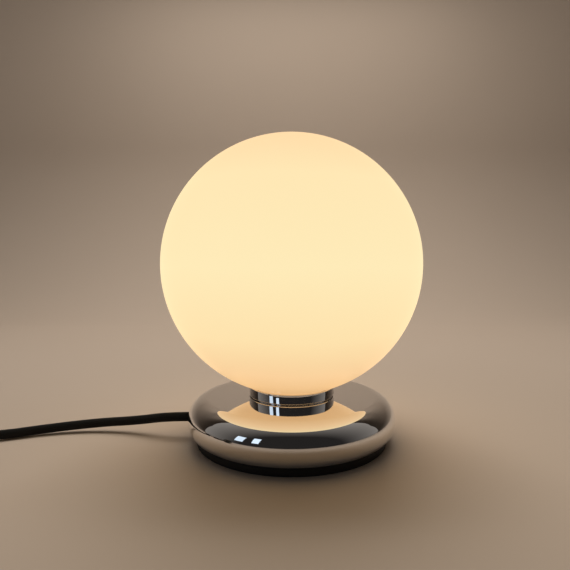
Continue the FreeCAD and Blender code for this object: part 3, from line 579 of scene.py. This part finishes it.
def shell_normal(point):
    """The outer skin's own direction at a point on it, or None off the skin."""
    out = math.hypot(point.x, point.y) / MM
    up = point.z / MM
    away = Vector((point.x, point.y, 0)).normalized()
    for centre, radius, low, high in (
        (shoulder_middle, shoulder_radius, flat_edge, shoulder_edge),
        (rim_middle, rim_radius, shoulder_edge, base_radius + skin_tolerance),
    ):
        spread = math.hypot(out - centre[0], up - centre[1])
        if low <= out <= high and abs(spread - radius) < skin_tolerance:
            return (away * (out - centre[0]) + Vector((0, 0, up - centre[1]))).normalized()
    if abs(up - shell_top) < top_tolerance:
        return Vector((0, 0, 1))
    return None


shell_outline = [
    (flat_edge * k / flat_rings + stem_hole * (1 - k / flat_rings), shell_top)
    for k in range(flat_rings)
]
shell_outline += shell_skin(0, steps=64) + shell_skin(shell_wall, steps=24)[::-1]
shell_outline.append((stem_hole, shell_top - shell_wall))
shell = lathe("chrome_base", shell_outline, steps=288)
on_its_side = Matrix.Rotation(math.pi / 2, 4, "Y")
bpy.ops.mesh.primitive_cylinder_add(
    vertices=punch_sides, radius=lead_hole * MM, depth=punch_long * MM
)
punch = bpy.context.object
punch_place = Matrix.Translation((-base_radius * MM, 0, lead_height * MM))
punch.data.transform(punch_place @ on_its_side)
cut_by(shell, punch)
directions = []
for face in shell.data.polygons:
    own = [shell_normal(shell.data.vertices[v].co) for v in face.vertices]
    skin = all(n is not None and n.dot(face.normal) > skin_agrees for n in own)
    directions += own if skin else [face.normal.copy()] * len(own)
shell.data.normals_split_custom_set(directions)

chrome = Finish("mirror_chrome", metallic=1.0)
smear = chrome.noise(38, 5, 0.65).between(0.48, 0.74)
specks = chrome.noise(900, 2, 0.5).between(0.72, 0.80)
chrome.takes(
    roughness=smear * 0.035 + specks * 0.10 + 0.022,
    base_color=chrome.blend(smear * 0.5, (0.84, 0.84, 0.85), (0.78, 0.78, 0.79)),
)
chrome.bump(chrome.noise(14, 1, 0.4), depth=0.00012, strength=0.25)
chrome.on(shell)
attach(shell, "base")
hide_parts("base_shell")

# --- Weight and stem ----------------------------------------------------------------------
# A cast iron disc under the shell's top gives the lamp its mass. A threaded steel tube goes
# up through it and carries the collar and the lampholder, with a nut at each end.

iron = Finish("cast_iron", metallic=0.6, roughness=0.75)
casting = iron.noise(220, 6, 0.7)
iron.takes(base_color=iron.blend(casting, (0.045, 0.044, 0.042), (0.17, 0.165, 0.155)))
iron.bump(casting, depth=0.0004, strength=0.8)
iron.on("base_weight")

tube_pitch, tube_deep, tube_bore = 1.0, 0.5, 3.6
thread_sides, rows_a_pitch, thread_crease = 48, 8, 40


def threaded(name, size, deep, pitch, bore, rounded=False):
    """A tube with a real helical thread outside. Its size is (radius, bottom, top) in mm."""
    radius, low, high = size
    rows = round((high - low) / pitch * rows_a_pitch)
    mesh = bmesh.new()
    rings = []
    for row in range(rows + 1):
        height = low + (high - low) * row / rows
        fade = min(1, (height - low) / pitch, (high - height) / pitch)
        ring = []
        for k, turn in enumerate(turns(thread_sides)):
            phase = ((height - low) / pitch - k / thread_sides) % 1
            wave = 0.5 - 0.5 * math.cos(2 * math.pi * phase) if rounded else abs(2 * phase - 1)
            out = (radius - deep * (1 - wave * fade)) * MM
            ring.append(mesh.verts.new((out * math.cos(turn), out * math.sin(turn), height * MM)))
        rings.append(ring)
    rings += [circle(mesh, bore, height, thread_sides) for height in (high, low)]
    walls(mesh, rings + rings[:1])
    made = built(name, mesh)
    shade(made, thread_crease)
    return made


stem = threaded("stem_tube", size_of("threaded_tube"), tube_deep, tube_pitch, tube_bore)
plated.on(stem, "lower_nut", "upper_nut")
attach(stem, "base")
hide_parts("threaded_tube")

# --- Chrome collar and the rubber seat in it ----------------------------------------------
# Turned and chrome plated like the base, with a fine step under it that reads as a dark line.
# The globe's neck stands in it on a black rubber gasket.

collar_radius, collar_bottom, collar_top = size_of("collar_ring")
collar_wall, collar_floor, collar_step, collar_step_in = 3.1, 2.4, 0.6, 1.6
collar_bevel, collar_top_fall, collar_rounding = 0.5, 0.9, 0.35

collar_inner = collar_radius - collar_wall
step_radius = collar_radius - collar_step_in
seat_floor = collar_bottom + collar_floor
under = collar_bottom + collar_step
collar_outline = [
    (stem_hole, collar_bottom),
    (step_radius, collar_bottom),
    (step_radius, under),
    (collar_radius - collar_bevel, under),
    (collar_radius, under + collar_bevel),
    (collar_radius, collar_top),
    (collar_inner, collar_top - collar_top_fall),
    (collar_inner, seat_floor),
    (stem_hole, seat_floor),
]
collar = lathe("chrome_collar", soften(collar_outline, collar_rounding, steps=5), steps=256)
chrome.on(collar)
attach(collar, "base")
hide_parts("collar_ring")

gasket_radius, _, gasket_top = size_of("globe_seat_gasket")
gasket_wall, gasket_floor, gasket_reach, gasket_rounding = 1.0, 1.2, 5.9, 0.4
gasket_inner, lip_inner = gasket_radius - gasket_reach, gasket_radius - gasket_wall
gasket_outline = [
    (gasket_inner, seat_floor),
    (gasket_radius, seat_floor),
    (gasket_radius, gasket_top),
    (lip_inner, gasket_top),
    (lip_inner, seat_floor + gasket_floor),
    (gasket_inner, seat_floor + gasket_floor),
]
gasket = lathe("seat_gasket", soften(gasket_outline, gasket_rounding))
rubber.on(gasket)
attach(gasket, "base")
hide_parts("globe_seat_gasket")

# --- Lampholder ---------------------------------------------------------------------------
# A white thermoplastic holder screwed on the stem: a cap, a ribbed body, an insert with the
# nickelled screw shell, and a brass centre contact and terminals.

plastic = Finish("white_plastic", roughness=0.35, coat_weight=0.15, coat_roughness=0.2)
plastic.takes(
    base_color=plastic.blend(plastic.noise(90, 3), (0.70, 0.68, 0.63), (0.76, 0.745, 0.70))
)
plastic.bump(plastic.noise(1500, 2), depth=0.00002, strength=0.4)
plastic.on("holder_cap", "holder_insert", "terminal_block")

body_radius, body_bottom, body_top = size_of("holder_body")
body_step, body_wall, body_rounding = 1.1, 1.8, 0.5
ribs_tall, ribs, rib_deep, rib_steps, off_the_skirt = 7.0, 36, 0.45, 6, 0.1

skirt = body_radius - body_step
body_inner = body_radius - body_step - body_wall
ribs_top = body_bottom + ribs_tall
body_outline = [
    (body_inner, body_bottom),
    (body_radius, body_bottom),
    (body_radius, ribs_top),
    (skirt, ribs_top + body_step),
    (skirt, body_top),
    (body_inner, body_top),
]
holder = lathe("holder_skirt", soften(body_outline, body_rounding), steps=ribs * rib_steps)
for vertex in holder.data.vertices:
    out = math.hypot(vertex.co.x, vertex.co.y)
    if out / MM < skirt + off_the_skirt or not body_bottom < vertex.co.z / MM < ribs_top:
        continue
    rib = 0.5 + 0.5 * math.cos(ribs * math.atan2(vertex.co.y, vertex.co.x))
    less = 1 - rib_deep * MM * (1 - rib) / out
    vertex.co.x *= less
    vertex.co.y *= less
plastic.on(holder)
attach(holder, "base")
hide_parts("holder_body")

nickel = Finish("nickel_plate", metallic=1.0)
tarnish = nickel.noise(120, 4, 0.6)
nickel.takes(
    base_color=nickel.blend(tarnish, (0.60, 0.56, 0.48), (0.74, 0.71, 0.64)),
    roughness=tarnish * 0.2 + 0.12,
)
bulb_pitch, bulb_deep, socket_wall = 2.822, 0.35, 0.5
socket_size = size_of("screw_shell")
socket_bore = socket_size[0] - socket_wall
socket = threaded("holder_thread", socket_size, bulb_deep, bulb_pitch, socket_bore, rounded=True)
nickel.on(socket)
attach(socket, "base")
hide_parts("screw_shell")

brass = Finish("stamped_brass", metallic=1.0)
worn = brass.noise(150, 4, 0.6)
brass.takes(
    base_color=brass.blend(worn, (0.55, 0.36, 0.14), (0.78, 0.57, 0.26)),
    roughness=worn * 0.25 + 0.14,
)
brass.on("centre_contact", "holder_terminals", "earth_lug", "plug_earth_clips")

# --- Bulb ---------------------------------------------------------------------------------
# A small-cap bulb with a milky plastic ball, a white housing, a rolled nickel cap and a board
# of yellow chips inside. It is lit.

milky = Finish("milky_bulb", roughness=0.3, emission_strength=1.0, emission_color=(0.9, 0.66, 0.36))
milky.takes(base_color=milky.blend(milky.noise(60), (0.30, 0.27, 0.22), (0.34, 0.31, 0.26)))
ball_radius, ball_bottom, ball_top = size_of("bulb_glass")
ball_wall = 1.0
ball_middle, ball_inner = (0, ball_top - ball_radius), ball_radius - ball_wall
ball_drop = ball_bottom - ball_middle[1]
mouth = math.degrees(math.asin(ball_drop / ball_radius))
mouth_inside = math.degrees(math.asin(ball_drop / ball_inner))
ball_outline = arc(ball_middle, ball_radius, mouth, 90, 40)
ball_outline += arc(ball_middle, ball_inner, 90, mouth_inside, 24)
ball = lathe("bulb_ball", ball_outline, steps=96)
milky.on(ball)
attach(ball, "bulb")
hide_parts("bulb_glass")

cap_wall = 0.75
cap_size = size_of("bulb_cap")
cap_bore = cap_size[0] - cap_wall
cap = threaded("bulb_thread", cap_size, bulb_deep, bulb_pitch, cap_bore, rounded=True)
nickel.on(cap, "bulb_contact")
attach(cap, "bulb")
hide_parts("bulb_cap")
plastic.on("bulb_housing")

board = Finish("board_aluminium", metallic=0.9, roughness=0.4)
board.takes(base_color=board.blend(board.noise(200, 4), (0.60, 0.61, 0.62), (0.78, 0.79, 0.80)))
board.on("led_board")
gel = Finish("chip_gel", roughness=0.3, emission_strength=1.5, emission_color=(1.0, 0.72, 0.30))
gel.takes(base_color=gel.blend(gel.noise(700), (0.80, 0.52, 0.10), (0.95, 0.70, 0.18)))
gel.on("led_chips")

# --- Glass globe --------------------------------------------------------------------------
# Mouth-blown opal glass, glossy outside, with a ground neck that stands loose in the collar.
# Its glow is painted: the glass itself gives light, a little warmer and dimmer towards the neck, in
# place of the bulb's light through it.

globe_radius, neck_bottom, globe_top = size_of("glass_globe")
globe_wall, neck_radius, neck_bevel = 3.0, 28.6, 0.8

globe_middle, globe_inner = (0, globe_top - globe_radius), globe_radius - globe_wall
neck_bore = neck_radius - globe_wall
outer_start = -math.degrees(math.acos(neck_radius / globe_radius))
inner_start = -math.degrees(math.acos(neck_bore / globe_inner))
globe_outline = [
    (neck_bore + neck_bevel, neck_bottom),
    (neck_radius - neck_bevel, neck_bottom),
    (neck_radius, neck_bottom + neck_bevel),
]
globe_outline += arc(globe_middle, globe_radius, outer_start, 90, 96)
globe_outline += arc(globe_middle, globe_inner, 90, inner_start, 56)
globe_outline.append((neck_bore, neck_bottom + neck_bevel))
globe = lathe("opal_globe", globe_outline, steps=192)

# Painted glow and painted shade: emission colour by height up the glass, dimmest and most orange at
# the neck. The glass's own colour under it is kept near black.
glow_up_the_globe = [
    (0.00, (0.66, 0.36, 0.150)),
    (0.06, (0.80, 0.49, 0.225)),
    (0.14, (0.93, 0.62, 0.325)),
    (0.27, (0.98, 0.755, 0.415)),
    (0.50, (0.99, 0.825, 0.480)),
    (0.80, (0.99, 0.795, 0.455)),
    (1.00, (0.95, 0.665, 0.355)),
]
opal = Finish("opal_glass", roughness=0.34, specular_ior_level=0.12)
_, _, glass_height = opal.parts(opal.place())
level = (glass_height / MM - neck_bottom) / (globe_top - neck_bottom)
wisps = opal.noise(16, 3, 0.55)
opal.takes(
    base_color=opal.blend(wisps, (0.030, 0.029, 0.027), (0.036, 0.035, 0.033)),
    emission_color=opal.node("ShaderNodeValToRGB", [level + wisps * 0.03], stops=glow_up_the_globe),
    emission_strength=1.0,
)
opal.on(globe)
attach(globe, "globe")
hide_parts("glass_globe")

# --- Wiring in the base -------------------------------------------------------------------
# The lead enters by a black bush and is held by a two-piece clamp. Its brown, green and blue
# cores end in a terminal block, and two leads go from there up the stem to the holder.

black = Finish("black_plastic", roughness=0.42, specular_ior_level=0.5)
black.bump(black.cells(1500, feature="SMOOTH_F1"), depth=0.00005, strength=0.35)
black.takes(base_color=black.blend(black.noise(50), (0.010, 0.010, 0.011), (0.018, 0.018, 0.019)))
black.on("cord_bush", "cord_clamp_upper", "cord_clamp_lower", "bulb_insulator")

brown, green, blue = (0.16, 0.055, 0.02), (0.25, 0.40, 0.04), (0.02, 0.09, 0.42)
middle_core_edge = (0.9, 1.2)
sleeve = Finish("wire_sleeve", roughness=0.35)
_, core_side, _ = sleeve.parts(sleeve.place())
near_lane = (core_side / MM).between(-middle_core_edge[1], -middle_core_edge[0])
far_lane = (core_side / MM).between(*middle_core_edge)
sleeve.takes(base_color=sleeve.blend(far_lane, sleeve.blend(near_lane, brown, green), blue))
sleeve.bump(sleeve.noise(900), depth=0.00002, strength=0.3)
sleeve.on("cord_cores", "holder_leads")

# --- Inline switch ------------------------------------------------------------------------
# Two black moulded halves screwed together round the lead, with a glossy rocker in a window.
# It lies along the run of the lead that starts at the route's seventh point.

switch_run = 6
switch_size = (56.0, 24.0)
half_below, half_above, corner_round, corner_steps = 8.1, 8.4, 6.0, 8
seam_bevel, top_bevel = 0.35, 2.0
window_size = (20.8, 11.8)
lead_channel, moulded_crease = 3.6, 32
screw_places, screw_sink, screw_sink_deep = [(21.0, 8.2), (-21.0, -8.2)], 2.4, 1.2

run_start, run_end = (Vector(point) for point in route[switch_run : switch_run + 2])
switch_heading = math.atan2(run_start.y - run_end.y, run_start.x - run_end.x)
switch_place = moved((run_start + run_end) / 2) @ Matrix.Rotation(switch_heading, 4, "Z")


def slab(name, levels, size, rounding):
    """A block with rounded corners. Levels are (height, inset) in mm, from the bottom up."""
    mesh = bmesh.new()
    rings = []
    for height, inset in levels:
        ring = []
        for quarter, (way_x, way_y) in enumerate(((1, 1), (-1, 1), (-1, -1), (1, -1))):
            centre = (way_x * (size[0] / 2 - rounding), way_y * (size[1] / 2 - rounding))
            start = 90 * quarter
            for x, y in arc(centre, rounding - inset, start, start + 90, corner_steps):
                ring.append(mesh.verts.new((x * MM, y * MM, height * MM)))
        rings.append(ring)
    walls(mesh, rings)
    mesh.faces.new(rings[0][::-1])
    mesh.faces.new(rings[-1])
    return built(name, mesh)


def settle(thing, place, body, slot, finish, *nodes):
    """Smooths a made piece, puts its mesh in place, gives it its finish, hangs it on its body and
    hides the CAD nodes it stands for.
    """
    thing.data.transform(place)
    shade(thing, moulded_crease)
    finish.on(thing)
    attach(thing, body)
    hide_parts(*nodes)


def round_tool(radius, length, centre=(0, 0, 0), turned=Matrix.Identity(4)):
    """A round bar to cut with, upright unless it is turned. Sizes in mm."""
    ends = (-length / 2, length / 2)
    outline = [(0, ends[0]), (radius, ends[0]), (radius, ends[1]), (0, ends[1])]
    tool = lathe("tool", outline, steps=32)
    tool.data.transform(moved(centre) @ turned)
    return tool


def rounding_over(height, bevel, steps=4, upwards=True):
    """Levels of a rounded upper or lower edge that ends at the height."""
    way = 1 if upwards else -1
    angles = [math.pi / 2 * k / steps for k in range(steps + 1)]
    levels = [(height - way * bevel * (1 - math.sin(t)), bevel * (1 - math.cos(t))) for t in angles]
    return levels if upwards else levels[::-1]


seam_over, seam_under = rounding_over(0, seam_bevel, upwards=False), rounding_over(0, seam_bevel)
cover_levels = seam_over + rounding_over(half_above, top_bevel, 6)
cover = slab("switch_upper_half", cover_levels, switch_size, corner_round)
cut_by(
    cover,
    round_tool(lead_channel, switch_size[0] * 2, turned=on_its_side),
    box_tool((*window_size, half_above * 2), (0, 0, half_above)),
)
lower_levels = rounding_over(-half_below, seam_bevel * 2, upwards=False) + seam_under
lower = slab("switch_lower_half", lower_levels, switch_size, corner_round)
cut_by(
    lower,
    round_tool(lead_channel, switch_size[0] * 2, turned=on_its_side),
    box_tool((*window_size, half_above)),
    *(round_tool(screw_sink, screw_sink_deep * 2, (*spot, -half_below)) for spot in screw_places),
)
settle(cover, switch_place, "base", "black_plastic", black, "switch_cover")
settle(lower, switch_place, "base", "black_plastic", black, "switch_base")
plated.on("switch_screws")

key = Finish("rocker_key", roughness=0.22, coat_weight=0.4, coat_roughness=0.1)
key.takes(base_color=key.blend(key.noise(80), (0.012, 0.012, 0.013), (0.020, 0.020, 0.021)))
rocker_long, rocker_wide, rocker_tilt, rocker_pivot = 20.0, 11.2, 8.0, 6.4
rocker_below, rocker_end, rocker_middle = 1.0, 2.9, 1.7
rocker_bevel, rocker_sharp, half_dish_steps = 0.4, math.radians(30), 8

rocker_outline = [(-rocker_long / 2, -rocker_below), (rocker_long / 2, -rocker_below)]
for k in range(2 * half_dish_steps + 1):
    out = 1 - k / half_dish_steps
    surface = rocker_middle + (rocker_end - rocker_middle) * out**2
    rocker_outline.append((rocker_long / 2 * out, surface))
rocker_mesh = bmesh.new()
rocker_sides = [
    [rocker_mesh.verts.new((x * MM, way * rocker_wide / 2 * MM, z * MM)) for x, z in rocker_outline]
    for way in (-1, 1)
]
walls(rocker_mesh, rocker_sides)
rocker_mesh.faces.new(rocker_sides[0][::-1])
rocker_mesh.faces.new(rocker_sides[1])
bmesh.ops.recalc_face_normals(rocker_mesh, faces=rocker_mesh.faces)
bmesh.ops.bevel(
    rocker_mesh,
    geom=[edge for edge in rocker_mesh.edges if edge.calc_face_angle() > rocker_sharp],
    offset=rocker_bevel * MM,
    segments=3,
    profile=0.5,
    affect="EDGES",
)
rocker = built("switch_key", rocker_mesh, outward=False)
tip = moved((0, 0, rocker_pivot)) @ Matrix.Rotation(math.radians(rocker_tilt), 4, "Y")
settle(rocker, switch_place @ tip, "rocker", "black_plastic", key, "switch_rocker")

# --- Plug ---------------------------------------------------------------------------------
# A round black two-pin plug with side earth clips, finger grooves on its cone and a ribbed
# rubber grip, moulded on the lead.

plug_radius, plug_neck, plug_long, plug_face, plug_bevel = 18.2, 9.0, 38.0, 17.0, 1.4
face_rim, face_slope, face_deep = 3.4, 0.4, 0.5
grip_long, grip_wall, grip_rings, grip_ring_deep, grip_clearance = 22.0, 1.4, 6, 0.7, 0.1
finger_grooves, groove_deep, steps_a_groove = 4, 0.6, 8
pin_radius, pin_long, pin_apart = 2.4, 19.0, 19.0
slot_long, slot_wide, slot_deep = 8.6, 4.2, 1.3

plug_at, before = Vector(route[-1]), Vector(route[-2])
plug_heading = math.atan2(plug_at.y - before.y, plug_at.x - before.x)
lying = moved(plug_at) @ Matrix.Rotation(plug_heading, 4, "Z") @ on_its_side

grip_bore = cord_diameter / 2 / MM + grip_clearance
grip_steps = grip_rings * steps_a_groove
grip_outline = [(grip_bore, 0)]
for k in range(grip_steps + 1):
    share = k / grip_steps
    taper = (plug_neck - grip_wall) * share + (grip_bore + grip_wall) * (1 - share)
    ring = 0.5 - 0.5 * math.cos(2 * math.pi * grip_rings * share)
    grip_outline.append((taper - grip_ring_deep * min(1, 2 * ring), grip_long * share))
grip_outline.append((grip_bore, grip_long))
grip = lathe("plug_sleeve", grip_outline, steps=48)
settle(grip, lying, "base", "black_rubber", rubber, "plug_grip")

plug_end = grip_long + plug_long
cone_long = plug_long - plug_face - plug_bevel
shoulder_at = plug_radius - plug_bevel
cone_steps = finger_grooves * steps_a_groove
plug_outline = [(0, grip_long), (plug_neck, grip_long)]
for k in range(1, cone_steps):
    share = k / cone_steps
    dip = max(0, -math.cos(2 * math.pi * finger_grooves * share)) * groove_deep
    cone = plug_neck + (shoulder_at - plug_neck) * share
    plug_outline.append((cone - dip, grip_long + cone_long * share))
plug_outline += arc((shoulder_at, plug_end - plug_face), plug_bevel, -45, 0, 5)
plug_outline += arc((shoulder_at, plug_end - plug_bevel), plug_bevel, 0, 90, 6)
plug_outline += [
    (plug_radius - face_rim, plug_end),
    (plug_radius - face_rim - face_slope, plug_end - face_deep),
    (0, plug_end - face_deep),
]
plug = lathe("plug_moulding", plug_outline, steps=96)
for way in (-1, 1):
    slot_middle = way * (plug_radius - slot_deep + plug_radius / 2)
    slot_size = (plug_radius, slot_wide, slot_long)
    cut_by(plug, box_tool(slot_size, (slot_middle, 0, plug_end - slot_long / 2)))
settle(plug, lying, "base", "black_plastic", black, "plug_body")

pin_tip = plug_end + pin_long - pin_radius
pin_outline = [(0, plug_end - face_deep), (pin_radius, plug_end - face_deep)]
pin_outline += arc((0, pin_tip), pin_radius, 0, 90, 8)
both_pins = bmesh.new()
for way in (-1, 1):
    pin = lathe("plug_pin", pin_outline, steps=32)
    pin.data.transform(moved((0, way * pin_apart / 2, 0)))
    both_pins.from_mesh(pin.data)
    bpy.data.objects.remove(pin)
pins = built("plug_pin", both_pins, outward=False)
settle(pins, lying, "base", "nickel", nickel, "plug_pins")
inside_plug = plug_at + Vector((math.cos(plug_heading), math.sin(plug_heading), 0)) * grip_long
inner = straight_lead("lead_in_plug", plug_at, inside_plug, "plug_lead")

[value * MM for value in route[0]]

# --- Studio -------------------------------------------------------------------------------
# A plain pale floor that runs up behind the lamp, two window-shaped softboxes at the left, a
# large one overhead, one that washes the wall, and a dim room behind the camera.

floor_wide, floor_front, floor_back, wall_high = 12.0, -3.0, 1.15, 3.0
sweep_radius, sweep_steps = 0.5, 16
sweep_line = [(floor_front, 0.0), (floor_back - sweep_radius, 0.0)]
for k in range(1, sweep_steps + 1):
    turn = math.pi / 2 * k / sweep_steps
    along_floor = floor_back - sweep_radius + sweep_radius * math.sin(turn)
    sweep_line.append((along_floor, sweep_radius * (1 - math.cos(turn))))
sweep_line.append((floor_back, wall_high))
sweep = bmesh.new()
edges = [
    [sweep.verts.new((x, y, z)) for x in (-floor_wide / 2, floor_wide / 2)] for y, z in sweep_line
]
for here, there in zip(edges, edges[1:]):
    sweep.faces.new((here[0], here[1], there[1], there[0])).smooth = True
ground = built("studio_sweep", sweep, outward=False)
paper = Finish("pale_paper", roughness=0.85)
paper.takes(base_color=paper.blend(paper.noise(3), (0.46, 0.375, 0.30), (0.48, 0.395, 0.32)))
paper.on(ground)


def softbox(name, place, size, power, colour, aim=(0, 0, 0.08)):
    """An area lamp turned towards the object."""
    light = bpy.data.lights.new(name, "AREA")
    light.shape, light.size, light.size_y = "RECTANGLE", *size
    light.energy, light.color = power, colour
    made = add(name, light)
    made.location = place
    made.rotation_euler = (Vector(aim) - Vector(place)).to_track_quat("-Z", "Y").to_euler()
    return made


daylight, warm, warm_wall = (0.72, 0.86, 1.0), (1.0, 0.95, 0.89), (1.0, 0.95, 0.90)
softbox("window_near", (-1.28, -1.70, 0.90), (0.29, 0.8), 0.9, daylight)
softbox("window_far", (-1.90, -1.33, 0.88), (0.40, 0.8), 1.1, daylight)
overhead = softbox("overhead", (0.0, 0.60, 1.30), (1.0, 0.8), 13.0, warm)
wash_aim = (0, 1.15, 0.5)
wash = softbox("wall_wash", (0.0, 0.35, 2.1), (2.4, 0.4), 12.0, warm_wall, wash_aim)
overhead.visible_glossy = wash.visible_glossy = False

room_dark, room_light = (0.020, 0.018, 0.017), (0.42, 0.38, 0.34)
dark_up_to, light_from = -0.6, 0.9
room = bpy.data.worlds.new("room")
scene.world = room
room.use_nodes = True
sky = Nodes(room.node_tree)
_, to_the_back, _ = sky.parts(sky.node("ShaderNodeTexCoord", output="Generated"))
lit = sky.node("ShaderNodeMapRange", [to_the_back, dark_up_to, light_from])
sky.feed(sky.nodes["Background"].inputs["Color"], sky.blend(lit, room_dark, room_light))
